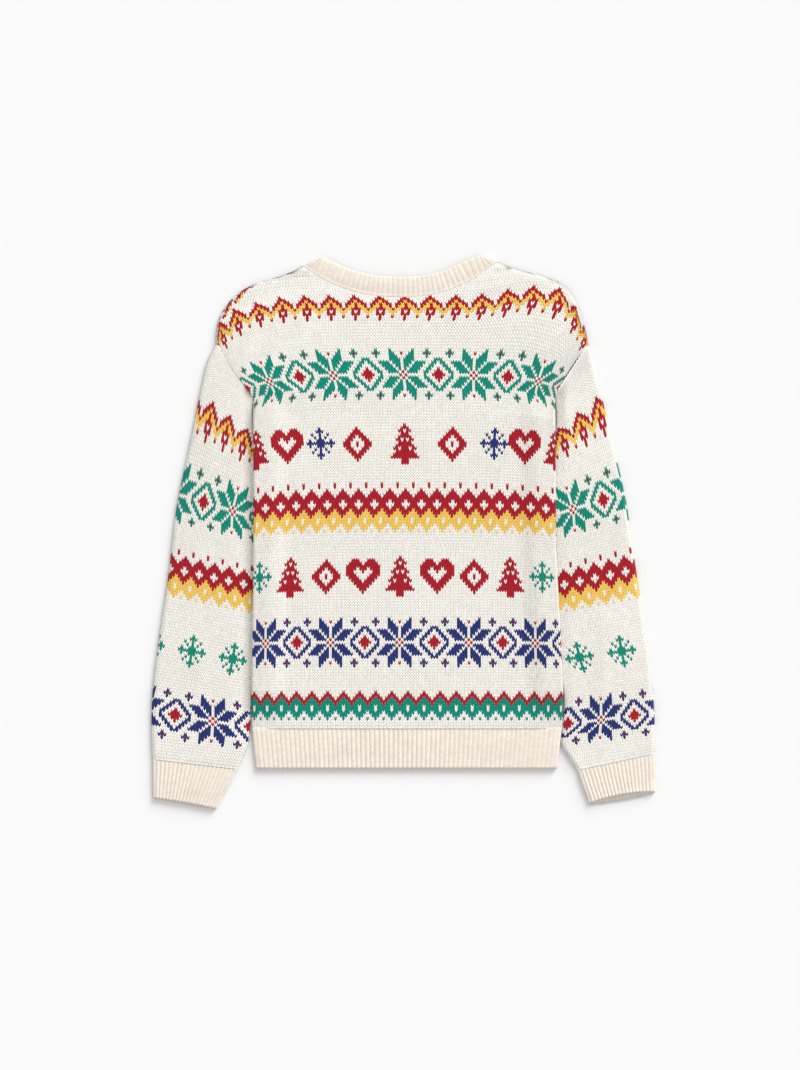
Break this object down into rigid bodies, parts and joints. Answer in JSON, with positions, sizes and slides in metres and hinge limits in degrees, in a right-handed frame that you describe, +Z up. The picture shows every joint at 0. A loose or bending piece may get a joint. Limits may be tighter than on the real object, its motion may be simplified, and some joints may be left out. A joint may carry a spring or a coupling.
{
  "type": "knitted winter sweater laid flat",
  "caption": "Long-sleeved knitted crew-neck sweater lying flat with its back up, with ribbed neckband, cuffs and hem, and bands of winter star patterns.",
  "frame": {"origin": "middle of the outline on the table surface that the sweater lies on", "axes": "+Y from the hem to the neck, +Z up out of the table through the back panel, +X to the right seen from above"},
  "size_m": [0.6298, 0.6926, 0.0103],
  "materials": {
    "patterned_knit": "soft matt stocking-stitch jacquard in cream with red, green, navy and yellow bands, slightly hairy",
    "rib_knit": "soft matt one-by-one rib in warm cream"
  },
  "bodies": {
    "root": {"back_panel": "patterned_knit", "front_panel": "patterned_knit", "sleeve_left": "patterned_knit", "sleeve_right": "patterned_knit", "cuff_left": "rib_knit", "cuff_right": "rib_knit", "hem_rib": "rib_knit", "neckband": "rib_knit"}
  },
  "joints": []
}
